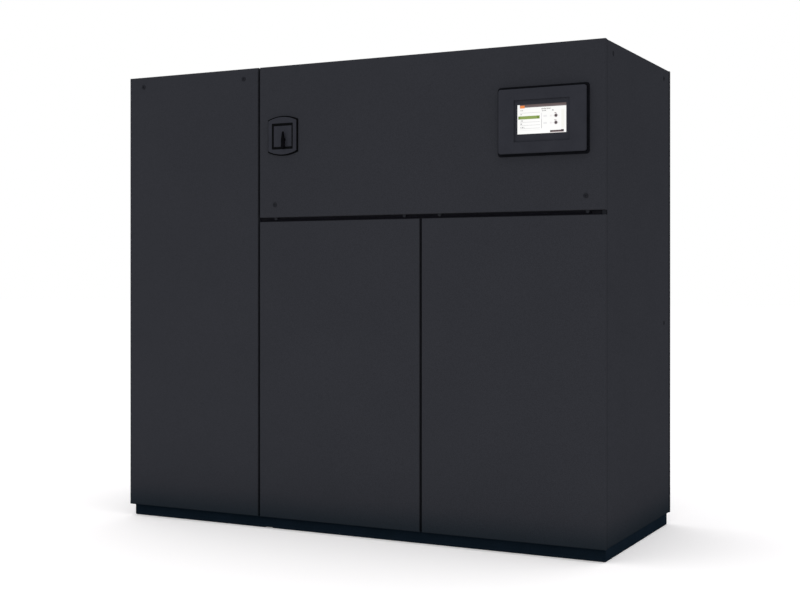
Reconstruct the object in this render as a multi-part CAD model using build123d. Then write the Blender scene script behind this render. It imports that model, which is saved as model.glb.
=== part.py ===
from build123d import *
import math
import os

# Computer room air conditioner, downflow, floor standing. Millimetres, +Z up, front towards -Y.
# The origin is on the floor under the middle of the cabinet.

# Overall cabinet
cabinet_width = 2184.0
cabinet_depth = 889.0
cabinet_height = 1930.0

# Base frame
base_height = 50.0
base_inset_front = 30.0
base_inset_side = 8.0
base_rail_depth = 40.0
anchor_hole_diameter = 14.0
anchor_end_distance = 110.0
anchor_hole_setback = 22.0
joint_notch_width = 40.0
joint_notch_height = 4.0

# Folded sheet frame
sheet = 3.0
bend_radius = 1.5
post_size = 40.0
joint_post_width = 60.0

# Panels and the gaps between them
panel_thickness = 20.0
panel_edge_radius = 3.0
compressor_bay_width = 676.0
bay_gap = 10.0
upper_panel_height = 629.0
door_gap_height = 18.0
door_split = 1429.5
door_split_gap = 10.0
side_seam = 3.0
side_panel_inset = 1.0

# Top
top_recess = 6.0
cover_clearance = 1.5
electrical_depth = 200.0

# Filters
filter_count = 4
filter_height = 96.0
filter_drop = 16.0
filter_clearance = 1.0
filter_board = 4.0
filter_lip = 14.0
pleat_count = 12
pleat_depth = 80.0
media_thickness = 3.0
divider_thickness = 6.0
ledge_width = 22.0

# Fans in the air bay, seen through the open base
fan_count = 2
fan_deck_top = 520.0
fan_deck_flange = 30.0
inlet_diameter = 340.0
inlet_depth = 80.0
inlet_overlap = 8.0
running_gap = 4.0
wheel_diameter = 560.0
wheel_outlet_width = 150.0
wheel_sheet = 3.0
blade_count = 7
blade_angle = 32.0
blade_inset = 6.0
motor_diameter = 190.0
motor_length = 90.0
motor_base_width = 210.0
motor_base_thickness = 12.0
carrier_plate_width = 240.0
carrier_thickness = 5.0
carrier_arms = 4
carrier_arm_width = 34.0
carrier_foot = 30.0
carrier_clearance = 20.0

# Door latches in the gap above the lower doors
latch_edge_distance = 72.0
latch_width = 13.0
latch_drop = 11.0
latch_taper = 4.0
latch_setback = 12.0
latch_plate = 3.0

# Display, placed from the right edge and the top of the cabinet
display_from_right = 242.0
display_from_top = 289.5
display_flange_width = 365.0
display_flange_height = 264.0
display_flange_radius = 12.0
display_flange_thickness = 4.0
display_flange_edge = 1.3
display_body_width = 350.0
display_body_height = 244.0
display_body_radius = 9.0
display_proud = 19.5
faceplate_thickness = 8.0
faceplate_edge = 2.0
faceplate_recess_width = 222.0
faceplate_recess_height = 159.0
faceplate_recess_depth = 5.0
faceplate_recess_radius = 2.0
screen_width = 197.0
screen_height = 113.0
screen_offset_z = 5.0
screen_glass = 2.0
screen_clearance = 0.2
screen_radius = 1.0
display_back_width = 196.0
display_back_height = 146.0
display_back_depth = 45.0
display_back_radius = 4.0
back_clearance = 2.0

# Disconnect switch, placed from the gap between the bays and from the top
switch_from_bay = 120.0
switch_from_top = 291.5
switch_width = 146.0
switch_side_height = 135.0
switch_arch_rise = 15.0
switch_gasket_border = 5.0
gasket_floor = 2.0
gasket_wall = 6.0
switch_proud = 9.0
switch_edge = 1.0
bezel_corner_radius = 5.0
window_width = 102.0
window_height = 108.0
window_offset_x = 1.0
window_drop = 2.0
window_corner_radius = 3.0
plate_gap_x = 7.0
plate_gap_z = 10.0
plate_thickness = 4.0
plate_edge = 1.0
handle_offset_x = 9.0
handle_offset_z = -17.0
handle_hub_radius = 7.5
handle_tail_radius = 8.0
handle_tip_radius = 3.0
handle_up = 33.5
handle_down = 38.5
handle_standoff = 8.0
handle_proud = 15.0
handle_edge = 1.5
shaft_radius = 6.5
shaft_clearance = 0.5
shaft_hole_clearance = 4.0
shaft_tail = 20.0

# Planes that the pieces share
left, right = -cabinet_width / 2, cabinet_width / 2
front, rear = -cabinet_depth / 2, cabinet_depth / 2
frame_front, frame_rear = front + panel_thickness, rear - panel_thickness
frame_left, frame_right = left + panel_thickness, right - panel_thickness
bay_line = left + compressor_bay_width
split_line = left + door_split
door_top = cabinet_height - upper_panel_height - door_gap_height
door_gap_top = cabinet_height - upper_panel_height
display_x, display_z = right - display_from_right, cabinet_height - display_from_top
switch_x, switch_z = bay_line + switch_from_bay, cabinet_height - switch_from_top
handle_x, handle_z = switch_x + handle_offset_x, switch_z + handle_offset_z
cover_top = cabinet_height - top_recess
frame_top = cover_top - sheet
rail_bottom = frame_top - post_size
header_front = frame_front + electrical_depth
intake_left = bay_line + post_size / 2
intake_right = frame_right - post_size
intake_front = header_front + post_size
intake_rear = frame_rear - post_size
filter_top = cover_top - filter_drop
filter_bottom = filter_top - filter_height


def block(x0, x1, y0, y1, z0, z1):
    """A block between two opposite corners."""
    return Pos(x0, y0, z0) * Box(x1 - x0, y1 - y0, z1 - z0, align=(Align.MIN,) * 3)


def folded_channel(start, along, opens, width, depth, length):
    """A channel of folded sheet: its web passes through start and its open side faces opens."""
    outer = Rectangle(width, depth, align=(Align.CENTER, Align.MIN))
    hollow = Rectangle(width - 2 * sheet, depth, align=(Align.CENTER, Align.MIN))
    profile = outer - Pos(0, sheet) * hollow
    bends = profile.vertices().group_by(Axis.Y)[0]
    profile = fillet(bends, bend_radius + sheet)
    across = Vector(*opens).cross(Vector(*along))
    return Plane(origin=start, x_dir=across, z_dir=along) * extrude(profile, length)


def front_face_block(x, z, width, height, y_back, y_front, radius):
    """A block seen from the front as a rounded rectangle, centred on x and z."""
    outline = RectangleRounded(width, height, radius)
    plane = Plane(origin=(x, y_back, z), x_dir=(1, 0, 0), z_dir=(0, -1, 0))
    return plane * extrude(outline, y_back - y_front)


def soften(slab, axis, end, radius):
    """Round the edges of the face at one end of an axis."""
    return fillet(slab.faces().sort_by(axis)[end].edges(), radius)


def bevel(slab, axis, end, size):
    """Cut back the edges of the face at one end of an axis."""
    return chamfer(slab.faces().sort_by(axis)[end].edges(), size)


# Mitred rails, for the base and for the top frame
def mitred_rail(side, x_out, y_out, z_mid, height, depth):
    """One rail of a rectangular frame: a folded channel that opens inwards, its ends mitred."""
    toward = 1 if side in ("front", "left") else -1
    if side in ("front", "rear"):
        along, opens, length = (toward, 0, 0), (0, toward, 0), 2 * x_out
    else:
        along, opens, length = (0, -toward, 0), (toward, 0, 0), 2 * y_out
    start = Vector(0, 0, z_mid) - Vector(*along) * (length / 2)
    start -= Vector(*opens) * (y_out if side in ("front", "rear") else x_out)
    rail = folded_channel(start, along, opens, height, depth, length)
    outer = [Vector(*along) * (length / 2 * end) for end in (-1, 1)]
    reach = y_out if side in ("front", "rear") else x_out
    web = [point - Vector(*opens) * reach for point in outer]
    lips = [web[1] + (Vector(*opens) - Vector(*along)) * depth]
    lips.append(web[0] + (Vector(*opens) + Vector(*along)) * depth)
    footprint = make_face(Polyline(*web, *lips, close=True))
    prism = extrude(footprint, z_mid + height, dir=(0, 0, 1))
    return rail & prism


# Base frame
def base_rail(side):
    """One rail of the recessed base."""
    return mitred_rail(
        side,
        right - base_inset_side,
        rear - base_inset_front,
        base_height / 2,
        base_height,
        base_rail_depth,
    )


def drilled_base_rail(side):
    """A front or rear rail with its anchor holes and the notch where the bays join."""
    rail = base_rail(side)
    toward = 1 if side == "front" else -1
    y_web = (base_inset_front - rear) * toward
    hole_y = y_web + toward * anchor_hole_setback
    for x in (left + anchor_end_distance, right - anchor_end_distance):
        rail -= Pos(x, hole_y, 0) * Cylinder(anchor_hole_diameter / 2, 4 * sheet)
    notch_x = bay_line + bay_gap + joint_notch_width / 2
    return rail - Pos(notch_x, y_web, 0) * Box(
        joint_notch_width, 2 * base_rail_depth, 2 * joint_notch_height
    )


def base_cross_rail():
    """The rail under the bulkhead, from front rail to rear rail."""
    y_in = rear - base_inset_front - base_rail_depth
    start = (bay_line - base_rail_depth / 2, y_in, base_height / 2)
    return folded_channel(
        start, (0, -1, 0), (1, 0, 0), base_height, base_rail_depth, 2 * y_in
    )


# Floor pan and bulkhead
def compressor_pan():
    """The closed floor of the compressor bay, on the base rails between the posts."""
    y_in = frame_rear - post_size
    x_end = bay_line - sheet / 2
    return block(frame_left, x_end, -y_in, y_in, base_height, base_height + sheet)


def bay_bulkhead():
    """The wall between the compressor bay and the air bay."""
    y_in = frame_rear - post_size
    x0, x1 = bay_line - sheet / 2, bay_line + sheet / 2
    return block(x0, x1, -y_in, y_in, base_height, rail_bottom)


# Posts
def corner_post(x_side, y_side):
    """A corner post, seated against a front or rear panel and a side panel."""
    x = x_side * (frame_right - post_size / 2)
    y = frame_rear * y_side
    return folded_channel(
        (x, y, base_height), (0, 0, 1), (0, -y_side, 0), post_size, post_size, rail_bottom - base_height
    )


def joint_post(y_side):
    """The wide post behind the gap between the two bays."""
    return folded_channel(
        (bay_line, frame_rear * y_side, base_height),
        (0, 0, 1),
        (0, -y_side, 0),
        joint_post_width,
        post_size,
        rail_bottom - base_height,
    )


def door_rail():
    """The rail behind the gap over the lower doors."""
    z = (door_top + door_gap_top) / 2
    x0, x1 = bay_line + joint_post_width / 2, frame_right - post_size
    return folded_channel(
        (x0, frame_front, z), (1, 0, 0), (0, 1, 0), joint_post_width, post_size, x1 - x0
    )


def door_mullion():
    """The short post behind the split between the lower doors."""
    z_end = (door_top + door_gap_top) / 2 - joint_post_width / 2
    return folded_channel(
        (split_line, frame_front, base_height),
        (0, 0, 1),
        (0, 1, 0),
        joint_post_width,
        post_size,
        z_end - base_height,
    )


# Top frame
def top_rail(side):
    """One rail of the top frame, on the posts."""
    z_mid = frame_top - post_size / 2
    return mitred_rail(side, frame_right, frame_rear, z_mid, post_size, post_size)


def top_cross_rail():
    """The rail over the bulkhead, from front rail to rear rail."""
    y_in = frame_rear - post_size
    start = (bay_line - post_size / 2, y_in, frame_top - post_size / 2)
    return folded_channel(start, (0, -1, 0), (1, 0, 0), post_size, post_size, 2 * y_in)


def filter_header():
    """The rail between the electrical cover and the filters."""
    start = (intake_right, intake_front, frame_top - post_size / 2)
    length = intake_right - intake_left
    return folded_channel(start, (-1, 0, 0), (0, -1, 0), post_size, post_size, length)


# Outer panels
def outer_panel(x0, x1, z0, z1, side):
    """An insulated double skin panel on the front or rear, with its outer edges softened."""
    if side == "front":
        slab = block(x0, x1, front, frame_front, z0, z1)
        return soften(slab, Axis.Y, 0, panel_edge_radius)
    slab = block(x0, x1, frame_rear, rear, z0, z1)
    return soften(slab, Axis.Y, -1, panel_edge_radius)


def side_panel(toward):
    """A side panel between the front and rear panels' seams."""
    y0, y1 = frame_front + side_seam, frame_rear - side_seam
    if toward < 0:
        slab = block(left + side_panel_inset, frame_left, y0, y1, base_height, cabinet_height)
        return soften(slab, Axis.X, 0, panel_edge_radius)
    slab = block(frame_right, right - side_panel_inset, y0, y1, base_height, cabinet_height)
    return soften(slab, Axis.X, -1, panel_edge_radius)


def upper_front_panel():
    """The upper front panel with the cut-outs for the display's back and the switch's shaft."""
    panel = outer_panel(bay_line + bay_gap / 2, right, door_gap_top, cabinet_height, "front")
    panel -= front_face_block(
        display_x,
        display_z,
        display_back_width + 2 * back_clearance,
        display_back_height + 2 * back_clearance,
        frame_front,
        front,
        display_back_radius + back_clearance,
    )
    return panel - shaft_hole(shaft_hole_clearance)


# Top covers
def top_cover(x0, x1, y0, y1):
    """A flat cover lying on the top rails."""
    return block(x0, x1, y0, y1, frame_top, cover_top)


# Filters in their rack
def filter_ledge(y_wall, toward):
    """An angle that carries the filters' ends."""
    wall = block(
        intake_left, intake_right, *sorted((y_wall, y_wall + toward * sheet)),
        filter_bottom - sheet, filter_top
    )
    foot = block(
        intake_left, intake_right, *sorted((y_wall, y_wall + toward * ledge_width)),
        filter_bottom - sheet, filter_bottom
    )
    return wall + foot


def filter_pitch():
    """Distance from one filter's middle to the next."""
    return (intake_right - intake_left) / filter_count


def filter_divider(index):
    """An upright strip between two filters, resting on the ledges."""
    x = intake_left + filter_pitch() * index
    half = divider_thickness / 2
    y0, y1 = intake_front + sheet, intake_rear - sheet
    return block(x - half, x + half, y0, y1, filter_bottom, filter_top)


def filter_pack(index):
    """A pleated filter: folded media bonded into a board frame."""
    width = filter_pitch() - divider_thickness - 2 * filter_clearance
    length = intake_rear - intake_front - 2 * sheet - 2 * filter_clearance
    x_mid = intake_left + filter_pitch() * (index + 0.5)
    y_mid = (intake_front + intake_rear) / 2
    inner_width, inner_length = width - 2 * filter_board, length - 2 * filter_board
    board = Box(width, length, filter_height) - Box(inner_width, inner_length, 2 * filter_height)
    lip_ring = Rectangle(width, length) - Rectangle(width - 2 * filter_lip, length - 2 * filter_lip)
    lip = extrude(lip_ring, filter_board / 2)
    board += Pos(0, 0, filter_height / 2 - filter_board / 2) * lip
    board += Pos(0, 0, -filter_height / 2) * lip
    step = inner_width / (2 * pleat_count)
    crest = pleat_depth / 2
    upper = [
        (-inner_width / 2 + step * i, crest if i % 2 else -crest)
        for i in range(2 * pleat_count + 1)
    ]
    lower = [(x, z - media_thickness * math.hypot(1, pleat_depth / step)) for x, z in reversed(upper)]
    drop = (upper[0][1] - lower[-1][1]) / 2
    fold = make_face(Polyline(*upper, *lower, close=True))
    media = Plane.XZ * extrude(fold, inner_length / 2, both=True)
    trim = Box(inner_width, inner_length, pleat_depth + 2 * media_thickness)
    media = Pos(0, 0, drop) * media & trim
    return Pos(x_mid, y_mid, filter_bottom + filter_height / 2) * (board + media)


# Fans: a deck with inlet collars, then the wheels, the motors and their carriers
air_left, air_right = bay_line + sheet / 2, frame_right
inlet_radius, wheel_radius = inlet_diameter / 2, wheel_diameter / 2
eye_radius = inlet_radius + sheet + running_gap
wheel_top = fan_deck_top - inlet_depth + inlet_overlap
outlet_bottom = wheel_top - wheel_sheet - wheel_outlet_width
motor_top = outlet_bottom - wheel_sheet
motor_base_top = motor_top - motor_length
carrier_top = motor_base_top - motor_base_thickness


def fan_middles():
    """The axis of each fan, spread over the air bay between its posts."""
    pitch = (intake_right - air_left) / fan_count
    return [air_left + pitch * (i + 0.5) for i in range(fan_count)]


def for_each_fan(shape):
    """The same piece on each fan's axis."""
    return Compound(children=[Pos(x, 0, 0) * shape for x in fan_middles()])


def ring(radius, bottom, height, bore=0.0):
    """A round plate on the fan's axis, with a hole through it if it has a bore."""
    outline = Circle(radius) - Circle(bore) if bore else Circle(radius)
    return Pos(0, 0, bottom) * extrude(outline, height)


def square(width, bottom, height):
    """A square plate on the fan's axis."""
    return Pos(0, 0, bottom) * extrude(Rectangle(width, width), height)


def fan_deck():
    """The tray that carries the fans, its edges folded down, with an inlet collar for each."""
    y_in = frame_rear - post_size
    bottom = fan_deck_top - fan_deck_flange
    deck = block(air_left, air_right, -y_in, y_in, bottom, fan_deck_top)
    inside = (air_left + sheet, air_right - sheet, sheet - y_in, y_in - sheet)
    deck -= block(*inside, bottom, fan_deck_top - sheet)
    for x in fan_middles():
        deck -= Pos(x, 0, 0) * ring(inlet_radius, fan_deck_top - sheet, sheet)
        collar_bottom = fan_deck_top - inlet_depth
        deck += Pos(x, 0, 0) * ring(inlet_radius + sheet, collar_bottom, inlet_depth, inlet_radius)
    return deck


def wheel_blade():
    """A backward curved blade, an arc through three points of a logarithmic spiral."""
    inner, outer = eye_radius + blade_inset, wheel_radius - blade_inset

    def on_spiral(radius):
        angle = -math.log(radius / inner) / math.tan(math.radians(blade_angle))
        return radius * math.cos(angle), radius * math.sin(angle)

    line = ThreePointArc(*(on_spiral(r) for r in (inner, math.sqrt(inner * outer), outer)))
    return Pos(0, 0, outlet_bottom) * extrude(trace(line, wheel_sheet), wheel_outlet_width)


def fan_wheel():
    """A welded wheel: a backplate and a front ring with the blades between them."""
    wheel = ring(wheel_radius, motor_top, wheel_sheet)
    wheel += ring(wheel_radius, wheel_top - wheel_sheet, wheel_sheet, eye_radius)
    blade = wheel_blade()
    for i in range(blade_count):
        wheel += Rot(0, 0, 360 / blade_count * i) * blade
    return wheel


def fan_motor():
    """An external rotor motor: the rotor under the wheel, on its square base."""
    base = square(motor_base_width, carrier_top, motor_base_thickness)
    return base + ring(motor_diameter / 2, motor_base_top, motor_length)


def fan_carrier():
    """A plate under the motor's base, hung from the deck by folded arms."""
    carrier = square(carrier_plate_width, carrier_top - carrier_thickness, carrier_thickness)
    reach = wheel_radius + carrier_clearance
    level = carrier_top - carrier_thickness / 2
    ceiling = fan_deck_top - sheet - carrier_thickness / 2
    path = Polyline(
        (carrier_plate_width / 2, level), (reach, level), (reach, ceiling), (reach + carrier_foot, ceiling)
    )
    arm = extrude(Plane.XZ * trace(path, carrier_thickness), carrier_arm_width / 2, both=True)
    for i in range(carrier_arms):
        carrier += Rot(0, 0, 360 / carrier_arms * (i + 0.5)) * arm
    return carrier


# Door latches
def door_latch(x):
    """A bent tab under the upper panel, its foot running back to the frame."""
    y0 = front + latch_setback
    half = latch_width / 2
    foot = block(x - half, x + half, y0, frame_front, door_gap_top - latch_plate, door_gap_top)
    face = block(x - half, x + half, y0, y0 + latch_plate, door_gap_top - latch_drop, door_gap_top)
    lower_corners = face.edges().filter_by(Axis.Y).group_by(Axis.Z)[0]
    return foot + chamfer(lower_corners, latch_taper)


def door_latches():
    """The tabs in the gap over the lower doors, one near each side of each door."""
    middles = [
        bay_line + bay_gap / 2 + latch_edge_distance,
        split_line - door_split_gap / 2 - latch_edge_distance,
        split_line + door_split_gap / 2 + latch_edge_distance,
        right - latch_edge_distance,
    ]
    return Compound(children=[door_latch(x) for x in middles])


# Display
def display_housing():
    """Black moulded housing: a flange on the panel, the proud body and the back in the cut-out."""
    x = display_x
    y_face = front - display_proud + faceplate_thickness
    flange = front_face_block(
        x, display_z, display_flange_width, display_flange_height,
        front, front - display_flange_thickness, display_flange_radius
    )
    flange = bevel(flange, Axis.Y, 0, display_flange_edge)
    body = front_face_block(
        x, display_z, display_body_width, display_body_height, front, y_face, display_body_radius
    )
    back = front_face_block(
        x, display_z, display_back_width, display_back_height,
        front + display_back_depth, front, display_back_radius
    )
    return flange + body + back


def display_faceplate():
    """The grey front of the display, with a recess around the screen."""
    y_back = front - display_proud + faceplate_thickness
    y_front = front - display_proud
    plate = front_face_block(
        display_x, display_z, display_body_width, display_body_height, y_back, y_front,
        display_body_radius
    )
    plate = bevel(plate, Axis.Y, 0, faceplate_edge)
    plate -= front_face_block(
        display_x, display_z, faceplate_recess_width, faceplate_recess_height,
        y_front + faceplate_recess_depth, y_front, faceplate_recess_radius
    )
    return plate - front_face_block(
        display_x, display_z + screen_offset_z, screen_width, screen_height, y_back, y_front,
        screen_radius
    )


def display_screen():
    """The screen's glass, seated in the faceplate on the housing."""
    y_back = front - display_proud + faceplate_thickness
    width = screen_width - 2 * screen_clearance
    height = screen_height - 2 * screen_clearance
    return front_face_block(
        display_x, display_z + screen_offset_z, width, height,
        y_back, y_back - screen_glass, screen_radius - screen_clearance
    )


# Disconnect switch
def arched_outline(border):
    """The switch's outline: straight sides, with the top and bottom bowed outwards."""
    half, side = switch_width / 2 + border, switch_side_height / 2 + border
    rise = side + switch_arch_rise
    return make_face(
        [
            ThreePointArc((-half, side), (0, rise), (half, side)),
            Line((half, side), (half, -side)),
            ThreePointArc((half, -side), (0, -rise), (-half, -side)),
            Line((-half, -side), (-half, side)),
        ]
    )


def switch_plane(y):
    """A plane that faces the front, at the middle of the switch."""
    return Plane(origin=(switch_x, y, switch_z), x_dir=(1, 0, 0), z_dir=(0, -1, 0))


def shaft_hole(clearance):
    """A cylinder that clears the handle's shaft, through the panel and the switch."""
    length = 4 * panel_thickness
    return Pos(handle_x, front, handle_z) * Rot(90, 0, 0) * Cylinder(shaft_radius + clearance, length)


def switch_window(gap_x, gap_z):
    """The opening in the switch's bezel, narrowed by a gap on each side."""
    outline = RectangleRounded(
        window_width - 2 * gap_x, window_height - 2 * gap_z, window_corner_radius
    )
    return Pos(window_offset_x, -window_drop) * outline


def disconnect_gasket():
    """The black gasket under the switch, with a wall that lifts the bezel off the panel."""
    flange = switch_plane(front) * extrude(arched_outline(0), gasket_floor)
    wall = arched_outline(-switch_gasket_border) - switch_window(0, 0)
    gasket = flange + switch_plane(front) * extrude(wall, gasket_wall)
    return gasket - shaft_hole(shaft_clearance)


def disconnect_bezel():
    """The grey frame of the switch, bowed at top and bottom."""
    outline = fillet(arched_outline(-switch_gasket_border).vertices(), bezel_corner_radius)
    thickness = switch_proud - gasket_wall
    frame = switch_plane(front - gasket_wall) * extrude(outline, thickness)
    frame = bevel(frame, Axis.Y, 0, switch_edge)
    return frame - switch_plane(front - gasket_wall) * extrude(switch_window(0, 0), thickness)


def disconnect_plate():
    """The plate in the window, on the gasket, with the hole for the handle's shaft."""
    outline = switch_window(plate_gap_x, plate_gap_z)
    plate = switch_plane(front - gasket_floor) * extrude(outline, plate_thickness)
    return bevel(plate, Axis.Y, 0, plate_edge) - shaft_hole(shaft_clearance)


def disconnect_handle():
    """The turning handle: a pointed grip that stands off the plate on its shaft."""
    plate_proud = gasket_floor + plate_thickness
    origin = (handle_x, front - plate_proud, handle_z)
    plane = Plane(origin=origin, x_dir=(1, 0, 0), z_dir=(0, -1, 0))
    tip = Pos(0, handle_up - handle_tip_radius) * Circle(handle_tip_radius)
    tail = Pos(0, handle_tail_radius - handle_down) * Circle(handle_tail_radius)
    outline = make_hull((Circle(handle_hub_radius) + tip + tail).edges())
    grip = Pos(0, 0, handle_standoff) * extrude(outline, handle_proud - handle_standoff)
    grip = bevel(grip, Axis.Z, -1, handle_edge)
    inward = plate_proud + panel_thickness + shaft_tail
    shaft = Pos(0, 0, -inward) * extrude(Circle(shaft_radius), inward + handle_standoff)
    return plane * (grip + shaft)


def build():
    """Every piece of the unit, by its name."""
    upper_left = bay_line + bay_gap / 2
    door_end = split_line - door_split_gap / 2
    door_start = split_line + door_split_gap / 2
    cover_in = cover_clearance
    pieces = {
        "base_front_rail": drilled_base_rail("front"),
        "base_rear_rail": drilled_base_rail("rear"),
        "base_left_rail": base_rail("left"),
        "base_right_rail": base_rail("right"),
        "base_cross_rail": base_cross_rail(),
        "compressor_pan": compressor_pan(),
        "bay_bulkhead": bay_bulkhead(),
        "post_front_left": corner_post(-1, -1),
        "post_front_right": corner_post(1, -1),
        "post_rear_left": corner_post(-1, 1),
        "post_rear_right": corner_post(1, 1),
        "joint_post_front": joint_post(-1),
        "joint_post_rear": joint_post(1),
        "door_rail": door_rail(),
        "door_mullion": door_mullion(),
        "compressor_front_panel": outer_panel(
            left, bay_line - bay_gap / 2, base_height, cabinet_height, "front"
        ),
        "upper_front_panel": upper_front_panel(),
        "lower_front_panel_left": outer_panel(upper_left, door_end, base_height, door_top, "front"),
        "lower_front_panel_right": outer_panel(door_start, right, base_height, door_top, "front"),
        "left_side_panel": side_panel(-1),
        "right_side_panel": side_panel(1),
        "compressor_rear_panel": outer_panel(
            left, bay_line - bay_gap / 2, base_height, cabinet_height, "rear"
        ),
        "rear_panel_inner": outer_panel(upper_left, door_end, base_height, cabinet_height, "rear"),
        "rear_panel_outer": outer_panel(door_start, right, base_height, cabinet_height, "rear"),
        "top_cross_rail": top_cross_rail(),
        "compressor_top_cover": top_cover(
            frame_left + cover_in, intake_left, frame_front + cover_in, frame_rear - cover_in
        ),
        "electrical_top_cover": top_cover(
            intake_left + cover_in, frame_right - cover_in, frame_front + cover_in, intake_front
        ),
        "filter_header": filter_header(),
        "door_latches": door_latches(),
        "display_housing": display_housing(),
        "display_faceplate": display_faceplate(),
        "display_screen": display_screen(),
        "disconnect_gasket": disconnect_gasket(),
        "disconnect_bezel": disconnect_bezel(),
        "disconnect_plate": disconnect_plate(),
        "disconnect_handle": disconnect_handle(),
    }
    for side in ("front", "rear", "left", "right"):
        pieces[f"top_{side}_rail"] = top_rail(side)
    pieces["fan_deck"] = fan_deck()
    pieces["fan_wheels"] = for_each_fan(fan_wheel())
    pieces["fan_motors"] = for_each_fan(fan_motor())
    pieces["fan_carriers"] = for_each_fan(fan_carrier())
    pieces["filter_ledges"] = Compound(
        children=[filter_ledge(intake_front, 1), filter_ledge(intake_rear, -1)]
    )
    pieces["filter_dividers"] = Compound(
        children=[filter_divider(i) for i in range(1, filter_count)]
    )
    for i in range(filter_count):
        pieces[f"filter_{i + 1}"] = filter_pack(i)
    return pieces


os.makedirs("parts", exist_ok=True)
for name, piece in build().items():
    export_step(piece, f"parts/{name}.step")
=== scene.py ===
import math

import bpy
import numpy as np
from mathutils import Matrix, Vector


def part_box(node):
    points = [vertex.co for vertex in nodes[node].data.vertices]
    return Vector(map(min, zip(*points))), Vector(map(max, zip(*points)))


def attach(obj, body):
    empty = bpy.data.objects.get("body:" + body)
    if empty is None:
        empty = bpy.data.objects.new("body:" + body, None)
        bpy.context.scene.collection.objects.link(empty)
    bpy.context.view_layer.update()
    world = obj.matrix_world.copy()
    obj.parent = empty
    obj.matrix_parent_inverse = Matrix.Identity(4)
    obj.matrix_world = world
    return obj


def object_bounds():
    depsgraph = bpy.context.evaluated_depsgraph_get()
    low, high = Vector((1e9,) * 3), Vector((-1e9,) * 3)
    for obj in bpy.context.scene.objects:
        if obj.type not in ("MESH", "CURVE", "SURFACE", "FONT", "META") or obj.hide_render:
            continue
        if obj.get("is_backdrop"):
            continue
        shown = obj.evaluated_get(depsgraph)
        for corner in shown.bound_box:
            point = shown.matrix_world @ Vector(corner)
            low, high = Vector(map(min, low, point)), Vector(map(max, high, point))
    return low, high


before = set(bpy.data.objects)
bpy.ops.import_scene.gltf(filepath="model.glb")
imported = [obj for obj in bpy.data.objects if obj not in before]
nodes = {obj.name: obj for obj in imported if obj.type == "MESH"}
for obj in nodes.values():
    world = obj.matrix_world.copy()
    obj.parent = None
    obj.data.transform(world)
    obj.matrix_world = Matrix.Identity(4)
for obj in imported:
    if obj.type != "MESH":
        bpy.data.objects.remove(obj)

# Looks of a downflow computer room air conditioner. Metres, front towards -Y, floor at z 0.
cad_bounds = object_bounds()
scene = bpy.context.scene


# Camera
# The photograph is taken level, from the right of the front, with a lens of about 58 mm on a full
# frame. The horizon lies a little above its middle, which is the lens's shift.
camera_data = bpy.data.cameras.new("camera")
camera_data.sensor_width = 36.0
camera_data.lens = 58.53
camera_data.shift_y = -0.0293
camera = bpy.data.objects.new("camera", camera_data)
camera.location = (2.5819, -5.0335, 1.055)
camera.rotation_euler = (math.radians(90), 0, math.radians(26.96))
scene.collection.objects.link(camera)
scene.camera = camera
scene.view_settings.view_transform = "Standard"


# Floor and light
# A white floor and room with soft light from all round. The floor close round the cabinet gives
# no light back, as under a unit on dark tiles, so that the foot of the panels falls off.
def linear(hex_colour, alpha=1.0):
    """An sRGB hex colour such as #2F3035 as linear red, green, blue and alpha."""
    value = np.array([int(hex_colour[i : i + 2], 16) for i in (1, 3, 5)]) / 255
    value = np.where(value <= 0.04045, value / 12.92, ((value + 0.055) / 1.055) ** 2.4)
    return (*value.tolist(), alpha)


def add(tree, kind, settings=None, links=None):
    """Adds a node: settings are its attributes or sockets, links join its sockets to others."""
    made = tree.nodes.new("ShaderNode" + kind)
    for name, value in (settings or {}).items():
        if isinstance(name, str) and hasattr(made, name):
            setattr(made, name, value)
        else:
            made.inputs[name].default_value = value
    for name, socket in (links or {}).items():
        tree.links.new(socket, made.inputs[name])
    return made


def seen_ray(tree):
    """1 for a ray from the camera, a mirror or glass, and 0 for a ray that only carries light."""
    path = add(tree, "LightPath")
    most = add(tree, "Math", {"operation": "MAXIMUM"},
               {0: path.outputs["Is Camera Ray"], 1: path.outputs["Is Glossy Ray"]})
    return add(tree, "Math", {"operation": "MAXIMUM"},
               {0: most.outputs[0], 1: path.outputs["Is Transmission Ray"]}).outputs[0]


white = (1.0, 1.0, 1.0, 1.0)
sky_colour, sky_strength = (0.965, 0.985, 1.05, 1.0), 0.93
floor_dark, floor_pale = (0.0, 0.08, 0.14, 1.0), (0.97, 0.94, 0.90, 1.0)
floor_glow, floor_half = 0.16, 40.0
# The floor is dark up to dark_start from the cabinet and pale from dark_end on. From there it also
# lights the panels a little, less and less up to lift_reach.
dark_start, dark_end = 0.11, 0.24
floor_lift, lift_reach = 0.42, 2.2

world = bpy.data.worlds.new("studio")
scene.world = world
world.use_nodes = True
tree = world.node_tree
tree.nodes.clear()
sky = add(tree, "Background", {"Color": sky_colour, "Strength": sky_strength})
backdrop = add(tree, "Background", {"Color": white, "Strength": 1.0})
mix = add(tree, "MixShader", None,
          {0: seen_ray(tree), 1: sky.outputs[0], 2: backdrop.outputs[0]})
add(tree, "OutputWorld", None, {"Surface": mix.outputs[0]})

floor_material = bpy.data.materials.new("pale studio floor")
floor_material.use_nodes = True
tree = floor_material.node_tree
tree.nodes.clear()
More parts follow.
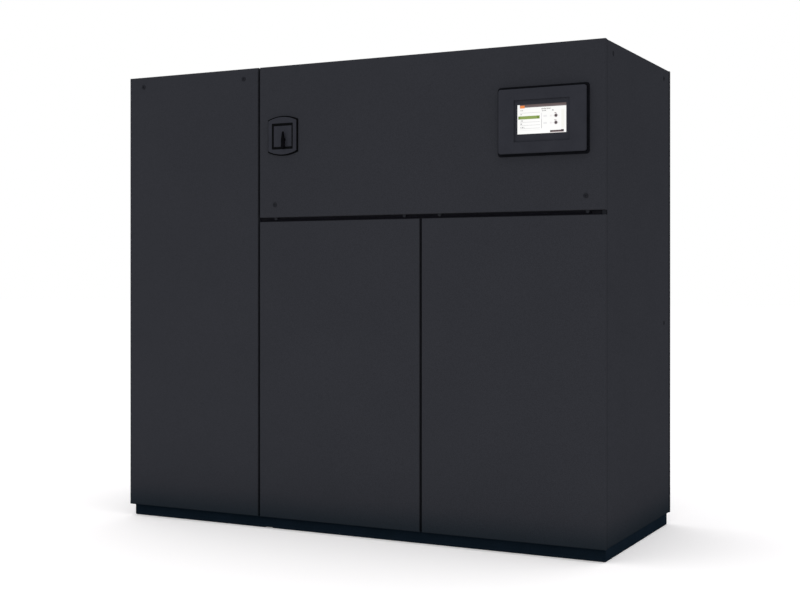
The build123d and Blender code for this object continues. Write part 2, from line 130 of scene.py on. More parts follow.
# How far a point of the floor lies outside the cabinet's footprint, in metres
place = add(tree, "TexCoord")
split = add(tree, "SeparateXYZ", None, {0: place.outputs["Object"]})
beyond = []
for axis, reach in (("X", cad_bounds[1][0]), ("Y", -cad_bounds[0][1])):
    away = add(tree, "Math", {"operation": "ABSOLUTE"}, {0: split.outputs[axis]})
    past = add(tree, "Math", {"operation": "SUBTRACT", 1: reach}, {0: away.outputs[0]})
    beyond.append(add(tree, "Math", {"operation": "MAXIMUM", 1: 0.0}, {0: past.outputs[0]}))
offset = add(tree, "CombineXYZ", None, {0: beyond[0].outputs[0], 1: beyond[1].outputs[0]})
distance = add(tree, "VectorMath", {"operation": "LENGTH"}, {0: offset.outputs[0]})
fade = add(tree, "MapRange", {"interpolation_type": "SMOOTHSTEP", "From Min": dark_start,
                              "From Max": dark_end}, {"Value": distance.outputs["Value"]})
seen = seen_ray(tree)
share = add(tree, "Math", {"operation": "MAXIMUM"}, {0: fade.outputs[0], 1: seen})
colour = add(tree, "ValToRGB", None, {0: share.outputs[0]})
colour.color_ramp.elements[0].color = floor_dark
colour.color_ramp.elements[1].color = floor_pale
matt = add(tree, "BsdfDiffuse", None, {"Color": colour.outputs[0]})
lift = add(tree, "MapRange", {"interpolation_type": "SMOOTHSTEP", "From Min": dark_end,
                              "From Max": lift_reach, "To Min": floor_lift, "To Max": 0.0},
           {"Value": distance.outputs["Value"]})
faded = add(tree, "Math", {"operation": "MULTIPLY"}, {0: lift.outputs[0], 1: fade.outputs[0]})
shine = add(tree, "MapRange", {"To Max": floor_glow}, {"Value": seen, "To Min": faded.outputs[0]})
glow = add(tree, "Emission", {"Color": white}, {"Strength": shine.outputs[0]})
both = add(tree, "AddShader", None, {0: matt.outputs[0], 1: glow.outputs[0]})
add(tree, "OutputMaterial", None, {"Surface": both.outputs[0]})

floor_mesh = bpy.data.meshes.new("floor")
corners = [(x * floor_half, y * floor_half, 0) for x, y in ((-1, -1), (1, -1), (1, 1), (-1, 1))]
floor_mesh.from_pydata(corners, [], [(0, 1, 2, 3)])
floor_mesh.materials.append(floor_material)
floor = bpy.data.objects.new("floor", floor_mesh)
scene.collection.objects.link(floor)
floor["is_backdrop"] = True

for name, spot, turn, size, power in (
    ("overhead", (0.0, -1.0, 6.0), (0, 0, 0), 8.0, 120),
    ("key", (-3.4, -5.2, 3.4), (60, 0, -33), 2.6, 10),
):
    lamp = bpy.data.lights.new(name, "AREA")
    lamp.size = size
    lamp.energy = power
    lamp_object = bpy.data.objects.new(name, lamp)
    lamp_object.location = spot
    lamp_object.rotation_euler = [math.radians(angle) for angle in turn]
    scene.collection.objects.link(lamp_object)


# Base frame
# Four rails of folded 3 mm steel sheet and a cross rail, mitred and welded, under the cabinet's
# edge. They are sprayed black before the posts are bolted on.
def principled(name):
    """A new material, with its node tree and its Principled shader."""
    made = bpy.data.materials.new(name)
    made.use_nodes = True
    return made, made.node_tree, made.node_tree.nodes["Principled BSDF"]


def surface(name, hex_low, hex_high, patch, roughness, grain=None, **sockets):
    """A Principled material: two close colours in soft patches and a roughness that drifts with
    them. The grain is (size, depth, shade): a fine bump, with painted shade that darkens its pits
    by that share and painted light that lightens its tops by it. Sizes are in metres."""
    made, tree, shader = principled(name)
    point = add(tree, "TexCoord").outputs["Object"]
    drift = add(tree, "TexNoise", {"Scale": 1 / patch, "Detail": 4.0, "Roughness": 0.6},
                {"Vector": point})
    ramp = add(tree, "ValToRGB", None, {0: drift.outputs["Fac"]})
    ramp.color_ramp.elements[0].position, ramp.color_ramp.elements[1].position = 0.35, 0.65
    ramp.color_ramp.elements[0].color = linear(hex_low)
    ramp.color_ramp.elements[1].color = linear(hex_high)
    colour = ramp.outputs[0]
    gloss = add(tree, "MapRange", {"From Min": 0.3, "From Max": 0.7,
                                   "To Min": roughness[0], "To Max": roughness[1]},
                {"Value": drift.outputs["Fac"]})
    tree.links.new(gloss.outputs[0], shader.inputs["Roughness"])
    if grain:
        size, depth, shade = grain
        speck = add(tree, "TexNoise", {"Scale": 1 / size, "Detail": 2.0}, {"Vector": point})
        relief = add(tree, "Bump", {"Strength": 1.0, "Distance": depth},
                     {"Height": speck.outputs["Fac"]})
        tree.links.new(relief.outputs[0], shader.inputs["Normal"])
        # Painted shade in the grain's pits and painted light on its tops
        light = add(tree, "MapRange", {"From Min": 0.35, "From Max": 0.65, "To Min": 1 - shade,
                                       "To Max": 1 + shade}, {"Value": speck.outputs["Fac"]})
        colour = add(tree, "Mix", {"data_type": "RGBA", "blend_type": "MULTIPLY", 0: 1.0},
                     {6: colour, 7: light.outputs[0]}).outputs[2]
    tree.links.new(colour, shader.inputs["Base Color"])
    for socket, value in sockets.items():
        shader.inputs[socket.replace("_", " ")].default_value = value
    return made


def finish_nodes(material, *names):
    """Gives the CAD nodes of these names a material in place of their plain one."""
    for name in names:
        nodes[name].material_slots[0].material = material


# Chassis paint: flat and blue black, with the faint waviness of a brushed primer below.
base_paint = surface("flat black chassis paint", "#172129", "#1A242D", patch=0.12,
                     roughness=(0.6, 0.7), grain=(0.004, 0.00006, 0.10), Specular_IOR_Level=0.0)
finish_nodes(base_paint, "base_front_rail", "base_rear_rail", "base_left_rail",
             "base_right_rail", "base_cross_rail")


# Inner frame
# Folded channels behind the gaps between the panels: posts, the rail over the doors, the
# mullion, and the top frame. They are powder coated black, and the floor, the bulkhead and the
# filter rack are left as bare galvanised sheet.

# Powder coat: a soft black that keeps the gaps dark. Its 0.5 mm grain is drawn at 3 mm.
frame_paint = surface("black powder coat on channels", "#15151A", "#19191E", patch=0.10,
                      roughness=(0.55, 0.7), grain=(0.003, 0.00005, 0.12), Specular_IOR_Level=0.05)
finish_nodes(frame_paint, *[name for name in nodes if "post" in name],
             "door_rail", "door_mullion", "top_front_rail", "top_rear_rail", "top_left_rail",
             "top_right_rail", "top_cross_rail")


def bare_metal(name, hex_low, hex_high, roughness, pattern):
    """A metal whose colour and gloss follow a pattern: a function of the node tree and the point,
    which gives two sockets from 0 to 1, one for the colour and one for the roughness."""
    made, tree, shader = principled(name)
    shader.inputs["Metallic"].default_value = 1.0
    tone, wear = pattern(tree, add(tree, "TexCoord").outputs["Object"])
    ramp = add(tree, "ValToRGB", None, {0: tone})
    ramp.color_ramp.elements[0].color = linear(hex_low)
    ramp.color_ramp.elements[1].color = linear(hex_high)
    gloss = add(tree, "MapRange", {"To Min": roughness[0], "To Max": roughness[1]},
                {"Value": wear})
    tree.links.new(ramp.outputs[0], shader.inputs["Base Color"])
    tree.links.new(gloss.outputs[0], shader.inputs["Roughness"])
    return made


def spangle(tree, point):
    """Zinc crystals: each cell of a Voronoi pattern has a grey and a gloss of its own."""
    crystal = add(tree, "TexVoronoi", {"Scale": 1 / crystal_size}, {"Vector": point})
    shade = add(tree, "SeparateColor", None, {0: crystal.outputs["Color"]})
    return shade.outputs[0], shade.outputs[1]


# Galvanised sheet: bright grey zinc, mottled by crystals 8 to 20 mm across.
crystal_size = 0.014
zinc = bare_metal("galvanised sheet with spangle", "#8C9094", "#B4B7B9", (0.34, 0.52), spangle)
finish_nodes(zinc, "compressor_pan", "bay_bulkhead", "filter_header", "filter_ledges",
             "filter_dividers")


# Fans
# Two plug fans hang under a galvanised deck. Their wheels are welded from mill finished aluminium
# sheet, the motors are dip coated black, and the carriers are bolted on with M10 screws.
def rolling_streaks(tree, point):
    """Noise drawn out along X, the direction in which the sheet was rolled."""
    drawn_out = (1 / streak_length, 1 / streak_width, 1 / streak_width)
    along = add(tree, "Mapping", {"Scale": drawn_out}, {"Vector": point})
    streak = add(tree, "TexNoise", {"Scale": 1.0, "Detail": 3.0}, {"Vector": along.outputs[0]})
    return streak.outputs["Fac"], streak.outputs["Fac"]


# Mill finished aluminium: dull silver, with fine streaks 1.5 mm apart and 60 mm long.
streak_length, streak_width = 0.06, 0.0015
aluminium = bare_metal("mill finished aluminium sheet", "#9DA0A2", "#C3C5C6", (0.28, 0.5),
                       rolling_streaks)
finish_nodes(aluminium, "fan_wheels")
finish_nodes(zinc, "fan_deck", "fan_carriers")
# Dip coat: a thin black film with a low gloss, over the 2 mm skin texture of a sand casting.
motor_coat = surface("black dip coat on cast aluminium", "#0E0F11", "#17181A", patch=0.03,
                     roughness=(0.4, 0.55), grain=(0.002, 0.0001, 0.15), Specular_IOR_Level=0.2)
finish_nodes(motor_coat, "fan_motors")


# Outer panels and top covers
# Double skin pans of folded steel with insulation between, powder coated in a fine textured
# charcoal and hung on the frame by their fasteners and latches.
def paint_shade_toward_floor(material, low_z, high_z, tint):
    """Paints shade into a paint's colour toward the floor: its colour times a tint at low_z, plain
    at high_z.
    """
    tree = material.node_tree
    socket = tree.nodes["Principled BSDF"].inputs["Base Color"]
    coat = socket.links[0].from_socket
    place = add(tree, "TexCoord")
    level = add(tree, "SeparateXYZ", None, {0: place.outputs["Object"]})
    height = add(tree, "MapRange", {"interpolation_type": "SMOOTHSTEP", "From Min": low_z,
                                    "From Max": high_z, "To Min": 1.0, "To Max": 0.0},
                 {"Value": level.outputs["Z"]})
    foot_shade = add(tree, "Mix", {"data_type": "RGBA", "blend_type": "MULTIPLY", 7: (*tint, 1.0)},
                {0: height.outputs[0], 6: coat})
    tree.links.new(foot_shade.outputs[2], socket)


# Textured powder coat: dead matt and even, without highlights. Its grain of about 0.5 mm is drawn
# at 2.5 mm so that it shows.
panel_coat = surface("charcoal powder coat", "#2E2F33", "#2F3034", patch=0.35,
                     roughness=(0.58, 0.66), grain=(0.0025, 0.00015, 0.16), Specular_IOR_Level=0.0)
# Painted shade at the panels' foot, darker and bluer toward the floor: full a little below the foot
# and gone 12 cm above it.
shade_below, shade_above, shade_tint = 0.03, 0.12, (0.58, 0.74, 0.78)
panel_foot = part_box("compressor_front_panel")[0].z
paint_shade_toward_floor(panel_coat, panel_foot - shade_below, panel_foot + shade_above, shade_tint)
finish_nodes(panel_coat, *[name for name in nodes if "_panel" in name],
             "compressor_top_cover", "electrical_top_cover")


# Rear mullion
# A folded channel like the one between the doors, behind the split between the two rear panels
# of the air bay. It is screwed to the base rail and the top rail.
def mesh_piece(name, vertices, faces, material, body="cabinet"):
    """A piece made of arrays of points and of faces, riding on a body."""
    mesh = bpy.data.meshes.new(name)
    mesh.from_pydata(np.asarray(vertices).tolist(), [], [list(face) for face in faces])
    mesh.materials.append(material)
    mesh.validate()
    piece = bpy.data.objects.new(name, mesh)
    scene.collection.objects.link(piece)
    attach(piece, body)
    return piece


def joined(parts):
    """Several (points, faces) pairs as one pair."""
    points, faces, start = [], [], 0
    for part_points, part_faces in parts:
        points.append(part_points)
        faces += [tuple(np.asarray(face) + start) for face in part_faces]
        start += len(part_points)
    return np.concatenate(points), faces


def carried(profile, start, end, across, out):
    """A closed profile carried along a straight path, with both ends capped.

    A point (u, v) of the profile lies at start + t (end - start) + u across + v out, with t 0
    or 1. The profile runs so that across x out points along the path.
    """
    profile = np.asarray(profile, float)
    start, end, across, out = (np.asarray(v, float) for v in (start, end, across, out))
    ring = profile[:, :1] * across + profile[:, 1:] * out
    points = np.concatenate([start + ring, end + ring])
    count = len(profile)
    faces = [(i, (i + 1) % count, (i + 1) % count + count, i + count) for i in range(count)]
    faces += [tuple(range(count - 1, -1, -1)), tuple(range(count, 2 * count))]
    if np.dot(np.cross(across, out), end - start) < 0:
        faces = [face[::-1] for face in faces]
    return points, faces


panel = {name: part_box(name) for name in nodes if "_panel" in name}
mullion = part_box("door_mullion")
frame_front, frame_rear = mullion[0].y, panel["compressor_rear_panel"][0].y
channel_depth, channel_sheet = mullion[1].y - mullion[0].y, 0.003
split_gap = (panel["rear_panel_inner"][1].x + panel["rear_panel_outer"][0].x) / 2
outside = (mullion[1].x - mullion[0].x) / 2
inside = outside - channel_sheet
channel = [(-outside, 0), (outside, 0), (outside, channel_depth), (inside, channel_depth),
           (inside, channel_sheet), (-inside, channel_sheet), (-inside, channel_depth),
           (-outside, channel_depth)]
rear_mullion = mesh_piece(
    "rear_mullion",
    *carried(channel, (split_gap, frame_rear, mullion[0].z),
             (split_gap, frame_rear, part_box("top_rear_rail")[0].z), (1, 0, 0), (0, -1, 0)),
    frame_paint)


# Gap seals
# Strips of closed cell rubber foam, in a D profile 7 mm wide and 3 mm high, glued behind each gap
# between panels. A moulded rubber bead fills each seam where a front panel meets a side panel, and
# its lip covers the edge of the side panel. Its black also stands in for the shade on the front
# panel's end face at each corner: painted shade.
def half_round(width, height, sides=8):
    """A D profile: half an ellipse over a flat base, (width / 2 cos a, height sin a)."""
    angles = np.linspace(0, math.pi, sides + 1)
    return np.stack([width / 2 * np.cos(angles), height * np.sin(angles)], axis=1)


strip_width, strip_height, below_top = 0.007, 0.003, 0.0005
strip = half_round(strip_width, strip_height)
seal_low = panel["compressor_front_panel"][0].z
seal_high = cad_bounds[1][2] - below_top
bay_gap = (panel["compressor_front_panel"][1].x + panel["upper_front_panel"][0].x) / 2
door_gap = (panel["lower_front_panel_left"][1].z + panel["upper_front_panel"][0].z) / 2
door_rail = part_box("door_rail")
seals = [carried(strip, (door_rail[0].x, frame_front, door_gap),
                 (door_rail[1].x, frame_front, door_gap), (0, 0, 1), (0, -1, 0))]
for x, y, outward, z_end in (
    (bay_gap, frame_front, -1, seal_high),
    (bay_gap, frame_rear, 1, seal_high),
    (split_gap, frame_front, -1, door_rail[0].z),
    (split_gap, frame_rear, 1, seal_high),
):
    seals.append(carried(strip, (x, y, seal_low), (x, y, z_end), (1, 0, 0), (0, outward, 0)))
# Closed cell foam: black with a matt open skin, its cells about 1.5 mm across.
seal_rubber = surface("closed cell rubber foam", "#15151A", "#1A1A20", patch=0.02,
                      roughness=(0.85, 0.95), grain=(0.0015, 0.0002, 0.2), Specular_IOR_Level=0.02)
gap_seals = mesh_piece("gap_seals", *joined(seals), seal_rubber)

bead_width, bead_height, bead_sunk = 0.0042, 0.0013, 0.0001
side_panels = (("left_side_panel", -1), ("right_side_panel", 1))
beads = []
for name, outward in side_panels:
    x = cad_bounds[outward > 0][0] - outward * (bead_height + bead_sunk)
    y = frame_front + bead_width / 2
    beads.append(carried(half_round(bead_width, bead_height), (x, y, seal_low), (x, y, seal_high),
                         (0, 1, 0), (outward, 0, 0)))
# Moulded rubber: a deeper black than the foam, smooth from its mould.
rubber = surface("moulded rubber", "#060708", "#0A0B0C", patch=0.02, roughness=(0.7, 0.8),
                 grain=(0.001, 0.00003, 0.1), Specular_IOR_Level=0.02)
# The beads draw a dark line down each front corner: painted shade of the front panel's end face.
corner_shade_beads = mesh_piece("corner_shade_beads", *joined(beads), rubber)


# Quarter-turn fasteners
# Black zinc die cast heads, 19 mm across, with a hexagon socket, lower on the sides and nearly
# flush at the rear. Each turns a cam behind its panel and holds the panel at an edge.
def socket_head(radius, height, socket, sides, segments=36):
    """A round head with a socket of so many sides, standing along +Z from its seat.

    The profile runs from the seat over the rounded rim and down into the socket. Its radius at
    an angle is multiplied by cos(pi / sides) / cos(angle within a side), blended in from the rim
    inwards, which makes the inner rings a polygon.
    """
    radii = np.array([radius, radius, radius * 0.97, radius * 0.9,
                      socket * 1.12, socket, socket, 0])
    heights = height * np.array([0, 0.55, 0.82, 1.0, 1.0, 0.9, 0.2, 0.2])
    blend = np.array([0, 0, 0, 0, 1, 1, 1, 1.0])[:, None]
    angle = np.arange(segments) * 2 * math.pi / segments
    within = (angle + math.pi / sides) % (2 * math.pi / sides) - math.pi / sides
    polygon = math.cos(math.pi / sides) / np.cos(within)
    reach = radii[:, None] * (1 - blend + blend * polygon[None, :])
    grid = np.stack([reach * np.cos(angle), reach * np.sin(angle),
                     np.broadcast_to(heights[:, None], reach.shape)], axis=-1)
    rings = len(radii) - 1
    points = np.concatenate([grid[:rings].reshape(-1, 3), [[0, 0, heights[-1]]]])
    index = np.arange(rings * segments).reshape(rings, segments)
    after = np.roll(index, -1, axis=1)
    quads = np.stack([index[:-1], after[:-1], after[1:], index[1:]], axis=-1).reshape(-1, 4)
    middle = rings * segments
    fan = [(int(a), int(b), middle) for a, b in zip(index[-1], after[-1])]
    return points, [tuple(q) for q in quads.tolist()] + fan + [tuple(index[0][::-1].tolist())]


def placed(part, spot, right, up):
    """A part that stands along +Z, moved to a spot, with its X along right and its Y along up:
    (x, y, z) goes to spot + x right + y up + z (right x up)."""
    turn = np.array([right, up, np.cross(right, up)], float)
    return part[0] @ turn + np.asarray(spot, float), part[1]


head_radius, socket_radius = 0.0095, 0.0034
front_height, side_height, rear_height = 0.0022, 0.0009, 0.0003
front_head, side_head, rear_head = (socket_head(head_radius, height, socket_radius, sides=6)
                                    for height in (front_height, side_height, rear_height))
# Where the heads' middles lie: from a panel's edge, from the edge at a post, under the top, over
# the doors, and the height of the lower one on each side.
edge, post_edge, top_drop, door_rise, side_low = 0.075, 0.0705, 0.0425, 0.0528, 0.860
top_z = cad_bounds[1][2] - top_drop
heads = []
for name in ("compressor_front_panel", "compressor_rear_panel", "rear_panel_inner",
             "rear_panel_outer"):
    low, high = panel[name]
    outward = -1 if high.y < 0 else 1
    for x in (low.x + edge, high.x - post_edge):
        y = low.y if outward < 0 else high.y
        kind = front_head if outward < 0 else rear_head
        heads.append(placed(kind, (x, y, top_z), (-outward, 0, 0), (0, 0, 1)))
low, high = panel["upper_front_panel"]
for x in (low.x + edge, high.x - edge):
    heads.append(placed(front_head, (x, low.y, low.z + door_rise), (1, 0, 0), (0, 0, 1)))
for name, outward in side_panels:
    low, high = panel[name]
    x = low.x if outward < 0 else high.x
    for y, z in ((low.y + edge, top_z), (high.y - edge, top_z), (high.y - edge, side_low)):
        heads.append(placed(side_head, (x, y, z), (0, outward, 0), (0, 0, 1)))
# Black passivated zinc: a flat grey black film, darker than the panels and lighter than the gaps.
black_zinc = surface("black passivated die cast zinc", "#202125", "#252629", patch=0.006,
                     roughness=(0.5, 0.62), grain=(0.001, 0.00005, 0.1), Specular_IOR_Level=0.0)
panel_fasteners = mesh_piece("panel_fasteners", *joined(heads), black_zinc)


# Door latches
# Tabs bent from spring steel under the upper panel, which hold the doors' top edges. They are
# powder coated with the panels.
finish_nodes(panel_coat, "door_latches")


# Cover screws
# Pan head screws, 9 mm across, along the edges of the top covers. They are zinc plated and black
# passivated like the fasteners.
screw_radius, screw_height, recess_radius = 0.0045, 0.0024, 0.0018
screw_inset, screw_pitch = 0.018, 0.32
screw = socket_head(screw_radius, screw_height, recess_radius, sides=4, segments=16)
screws = []
for name in ("compressor_top_cover", "electrical_top_cover"):
    low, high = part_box(name)
    spans = [np.linspace(a + screw_inset, b - screw_inset, max(2, round((b - a) / screw_pitch) + 1))
             for a, b in ((low.x, high.x), (low.y, high.y))]
    spots = {(round(x, 4), round(y, 4)) for x in spans[0] for y in spans[1]
             if x in spans[0][[0, -1]] or y in spans[1][[0, -1]]}
    screws += [placed(screw, (x, y, high.z), (1, 0, 0), (0, 1, 0)) for x, y in sorted(spots)]
cover_screws = mesh_piece("cover_screws", *joined(screws), black_zinc)


# Filters
# Pleated panels of glass and polyester fibre in a frame of moisture resistant board, with a
# lattice of galvanised wire under the top lip that keeps the pleats apart.

# Glass fibre media: off-white felt of coarse fibres, which scatters all light.
filter_fibre = surface("pleated glass fibre media", "#C9C9C2", "#DEDED8", patch=0.05,
                       roughness=(0.85, 0.95), grain=(0.0018, 0.0006, 0.08), Specular_IOR_Level=0.2)
filters = sorted(name for name in nodes if name.startswith("filter_") and name[-1].isdigit())
finish_nodes(filter_fibre, *filters)

wire_radius, wire_pitch, lip_width, lip_depth = 0.0006, 0.0254, 0.004, 0.002
diamond = [(wire_radius, 0), (0, wire_radius), (-wire_radius, 0), (0, -wire_radius)]
wires = []
for name in filters:
    low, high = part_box(name)
    left, right, front, rear = (low.x + lip_width, high.x - lip_width,
                                low.y + lip_width, high.y - lip_width)
    upper = high.z - lip_depth - wire_radius
    lower = upper - 2 * wire_radius
    for x in np.arange(left + wire_pitch, right, wire_pitch):
        wires.append(carried(diamond, (x, front, upper), (x, rear, upper), (1, 0, 0), (0, 0, 1)))
    for y in np.arange(front + wire_pitch, rear, wire_pitch):
        wires.append(carried(diamond, (left, y, lower), (right, y, lower), (0, 1, 0), (0, 0, 1)))
# Galvanised wire: bright drawn steel under a thin zinc coat.
wire_zinc = surface("galvanised wire", "#9A9C9E", "#B2B4B5", patch=0.01, roughness=(0.3, 0.45),
                    Metallic=1.0)
filter_wires = mesh_piece("filter_wires", *joined(wires), wire_zinc)


# Display
# A touch screen in a black moulded housing, behind a faceplate moulded in the panels' charcoal.
# The screen is lit and shows a plain layout with numbers only.

# Black ABS: a spark eroded mould leaves it matt, with grains of about 1 mm as they are drawn.
black_moulding = surface("matt black moulded ABS", "#0C0D10", "#101115", patch=0.03,
                         roughness=(0.6, 0.72), grain=(0.0012, 0.00004, 0.12),
                         Specular_IOR_Level=0.02)
finish_nodes(black_moulding, "display_housing")
# Charcoal ABS: coloured to match the panels' powder, in a finer grain.
grey_moulding = surface("charcoal moulded ABS", "#2D2E33", "#303136", patch=0.08,
                        roughness=(0.55, 0.65), grain=(0.0012, 0.00006, 0.10),
                        Specular_IOR_Level=0.0)
finish_nodes(grey_moulding, "display_faceplate")


def lit_material(name):
    """The face of a lit liquid crystal panel: dark glass that gives light of its own."""
    made, tree, shader = principled(name)
    shader.inputs["Base Color"].default_value = (0.01, 0.01, 0.01, 1)
    shader.inputs["Roughness"].default_value = 0.25
    shader.inputs["Specular IOR Level"].default_value = 0.2
    shader.inputs["Emission Strength"].default_value = 1.0
    return made, tree, shader


# The backlight: nearly white, with clouds about half the screen wide that are hardly seen.
cloud_size = 0.12
lit_screen, tree, shader = lit_material("lit liquid crystal panel")
place = add(tree, "TexCoord")
backlight = add(tree, "TexNoise", {"Scale": 1 / cloud_size, "Detail": 0.0},
                {"Vector": place.outputs["Object"]})
ramp = add(tree, "ValToRGB", None, {0: backlight.outputs["Fac"]})
ramp.color_ramp.elements[0].color = linear("#F6F6F4")
ramp.color_ramp.elements[1].color = linear("#FFFFFE")
tree.links.new(ramp.outputs[0], shader.inputs["Emission Color"])
finish_nodes(lit_screen, "display_screen")

low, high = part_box("display_screen")
screen_width, screen_height = high.x - low.x, high.z - low.z
picture_gap, layer_step = 0.0002, 0.00005
digit_height, digit_swell = 0.7, 0.0002
picture = []


def patch(across, down, colour, layer=0):
    """A flat patch of the picture. Its outline runs anticlockwise as seen from the front, in
    shares of the screen's width and height, and each layer lies a little before the last."""
    x = low.x + np.asarray(across, float) * screen_width
    z = high.z - np.asarray(down, float) * screen_height
    y = np.full(len(x), low.y - picture_gap - layer * layer_step)
    picture.append((np.stack([x, y, z], axis=1), [tuple(range(len(x)))], colour))


def bar(left, top, right, bottom, colour, layer=0):
    """A rectangle of the picture."""
    patch([left, right, right, left], [bottom, bottom, top, top], colour, layer)


def dot(across, down, radius, colour, layer=0, sides=24):
    """A round patch of the picture: its middle plus radius (cos a, sin a), in metres."""
    angle = np.arange(sides) * 2 * math.pi / sides
    patch(across + radius * np.cos(angle) / screen_width,
          down - radius * np.sin(angle) / screen_height, colour, layer)


def figures(text, across, down, height, colour, layer=1):
    """Plain numbers, their lower left corner at a share of the screen and their height in metres.
    They are drawn by the built-in typeface, whose digits are digit_height of its size high, and
    made bolder by digit_swell."""
    curve = bpy.data.curves.new("figures", "FONT")
    curve.body = text
    curve.size = height / digit_height
    curve.offset = digit_swell
    curve.resolution_u = 3
    outline = bpy.data.objects.new("figures", curve)
    mesh = bpy.data.meshes.new_from_object(outline)
    flat = np.empty(len(mesh.vertices) * 3)
    mesh.vertices.foreach_get("co", flat)
    flat = flat.reshape(-1, 3)
    points = np.stack([low.x + across * screen_width + flat[:, 0],
                       np.full(len(flat), low.y - picture_gap - layer * layer_step),
                       high.z - down * screen_height + flat[:, 1]], axis=1)
    picture.append((points, [tuple(face.vertices) for face in mesh.polygons], colour))
    bpy.data.objects.remove(outline)
    bpy.data.curves.remove(curve)
    bpy.data.meshes.remove(mesh)


# Title bar, in two shades, with an orange square
bar(0.05, 0.0, 1.0, 0.06, "#5C4E4E")
bar(0.05, 0.06, 1.0, 0.105, "#6E6263")
bar(0.058, 0.035, 0.148, 0.125, "#F08A42", 1)
# List at the left: its chosen line, and the rules under the others
bar(0.017, 0.385, 0.455, 0.49, "#889E52")
bar(0.017, 0.385, 0.06, 0.49, "#728A3A", 1)
bar(0.40, 0.40, 0.445, 0.475, "#6F8838", 1)
for down in (0.275, 0.585, 0.69, 0.795):
    bar(0.055, down, 0.46, down + 0.011, "#C9C8C8")
bar(0.055, 0.86, 0.46, 0.868, "#E4E3E3")
# Divider in the middle, a pale column at the right, and a button below
bar(0.488, 0.30, 0.498, 0.52, "#D6D4D8")
bar(0.488, 0.52, 0.498, 0.82, "#B2B0B2")
bar(0.89, 0.22, 0.95, 0.84, "#F3F3ED")
bar(0.664, 0.897, 0.94, 0.958, "#5A4B4E")
bar(0.664, 0.897, 0.70, 0.958, "#3A3235", 1)
bar(0.885, 0.882, 0.94, 0.958, "#40363A", 1)
bar(0.664, 0.958, 0.94, 0.972, "#D9C9CA")
# Two rows, each with two boxes and a dial between its marks
for down in (0.415, 0.65):
    bar(0.53, down - 0.03, 0.60, down + 0.03, "#EAE9EA")
    bar(0.66, down - 0.03, 0.70, down + 0.03, "#F0ECEC")
    dot(0.782, down, 0.0072, "#C9C2C4")
    dot(0.782, down, 0.0058, "#6E6366", 1)
    dot(0.782, down, 0.0034, "#3E3437", 2)
    bar(0.715, down - 0.004, 0.745, down + 0.004, "#C9C9C9")
    bar(0.82, down - 0.004, 0.85, down + 0.004, "#C9C6C6")
# The numbers
for text, across, down, height, colour in (
    ("17.5", 0.060, 0.215, 0.0045, "#8E8A8C"),
    ("80", 0.065, 0.345, 0.0036, "#8C8C92"),
    ("124", 0.068, 0.560, 0.0042, "#6A6A6A"),
    ("30", 0.062, 0.665, 0.0044, "#5A5A5A"),
    ("4 18 2", 0.065, 0.780, 0.0042, "#5E5E5E"),
    ("22.4 23.0 22.8 45", 0.49, 0.185, 0.0036, "#54463F"),
    ("21.5 24", 0.50, 0.250, 0.0038, "#3F3D40"),
    ("06", 0.705, 0.250, 0.0042, "#555356"),
    ("480", 0.750, 0.345, 0.0038, "#80666A"),
    ("520", 0.750, 0.580, 0.0038, "#80666A"),
):
    figures(text, across, down, height, colour)

# The black mask round the lit part laps over the screen's edge.
mask_left, mask_right, mask_top, mask_bottom, lap = 0.002, 0.012, 0.006, 0.016, 0.004
mask_colour = "#14141A"
bar(-lap, -lap, mask_left, 1 + lap, mask_colour, 3)
bar(1 - mask_right, -lap, 1 + lap, 1 + lap, mask_colour, 3)
bar(mask_left, -lap, 1 - mask_right, mask_top, mask_colour, 3)
bar(mask_left, 1 - mask_bottom, 1 - mask_right, 1 + lap, mask_colour, 3)

# The picture's glow: each patch shines in its own tone, which its points carry.
tones = [linear(colour) for points, faces, colour in picture for point in points]
lit_picture, tree, shader = lit_material("lit picture on the screen")
tone = add(tree, "Attribute", {"attribute_name": "tone"})
tree.links.new(tone.outputs["Color"], shader.inputs["Emission Color"])
screen_picture = mesh_piece("screen_picture", *joined([part[:2] for part in picture]), lit_picture)
tone_layer = screen_picture.data.color_attributes.new("tone", "FLOAT_COLOR", "POINT")
tone_layer.data.foreach_set("color", np.array(tones, float).ravel())


# Disconnect switch
# A rubber gasket, a moulded frame bowed at top and bottom, a plate in its window, and a black
# nylon handle that turns on its shaft from on to off.
finish_nodes(rubber, "disconnect_gasket")
finish_nodes(grey_moulding, "disconnect_bezel", "disconnect_plate")
# Glass filled nylon: the deepest black on the unit, with a slight sheen.
black_nylon = surface("black moulded nylon", "#060608", "#09090C", patch=0.02,
                      roughness=(0.45, 0.58), grain=(0.0008, 0.00003, 0.1), Specular_IOR_Level=0.01)
finish_nodes(black_nylon, "disconnect_handle")


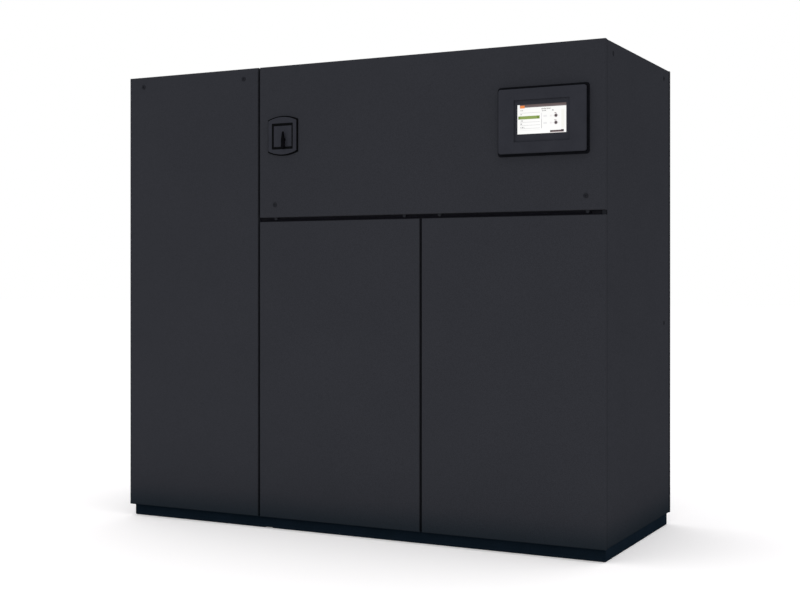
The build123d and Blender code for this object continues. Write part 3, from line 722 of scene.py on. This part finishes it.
def rounded_outline(width, height, radius, steps=6):
    """A rectangle with quarter circles for corners, anticlockwise from its right side: each
    corner's middle plus radius (cos a, sin a)."""
    corner = np.repeat([[1, 1], [-1, 1], [-1, -1], [1, -1]], steps, axis=0)
    angle = (np.linspace(0, math.pi / 2, steps) + math.pi / 2 * np.arange(4)[:, None]).ravel()
    middle = corner * (np.array([width, height]) / 2 - radius)
    return middle + radius * np.stack([np.cos(angle), np.sin(angle)], axis=1)


def filling_ring(inner, outer, section, y_back, y_front):
    """A ring that fills the gap between two outlines. A point (t, h) of its section lies at
    inner + t (outer - inner) across the gap, and at y_back + h (y_front - y_back) out of it."""
    share, rise = np.asarray(section, float).T
    flat = inner + share[:, None, None] * (outer - inner)
    depth = np.broadcast_to((y_back + rise * (y_front - y_back))[:, None], flat.shape[:2])
    points = np.stack([flat[..., 0], depth, flat[..., 1]], axis=-1).reshape(-1, 3)
    index = np.arange(len(points)).reshape(depth.shape)
    beside, beyond = np.roll(index, -1, axis=0), np.roll(index, -1, axis=1)
    across = np.roll(beside, -1, axis=1)
    return points, np.stack([index, beside, across, beyond], axis=-1).reshape(-1, 4).tolist()


# A black rubber seal fills the gap between the plate and the frame, nearly up to the frame's face.
# Its black stands in for the shade deep in the gap: painted shade.
gap_across, gap_up = 0.007, 0.010
seal_slack, seal_corner, seal_set_back = 0.0002, 0.003, 0.0004
seal_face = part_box("disconnect_bezel")[0].y + seal_set_back
low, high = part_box("disconnect_plate")
plate_size = np.array([high.x - low.x, high.z - low.z])
plate_middle = np.array([high.x + low.x, high.z + low.z]) / 2
inner = plate_middle + rounded_outline(*(plate_size + 2 * seal_slack), seal_corner)
gap = np.array([gap_across, gap_up]) - seal_slack
outer = plate_middle + rounded_outline(*(plate_size + 2 * gap), seal_corner)
seal_section = [(0, 0), (0, 0.8), (0.12, 0.94), (0.5, 1), (0.88, 0.94), (1, 0.8), (1, 0)]
switch_gap_shade_seal = mesh_piece(
    "switch_gap_shade_seal", *filling_ring(inner, outer, seal_section, high.y, seal_face), rubber)


# Size of the finished model beside the CAD model's
size = {"cad": cad_bounds, "visual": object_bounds()}
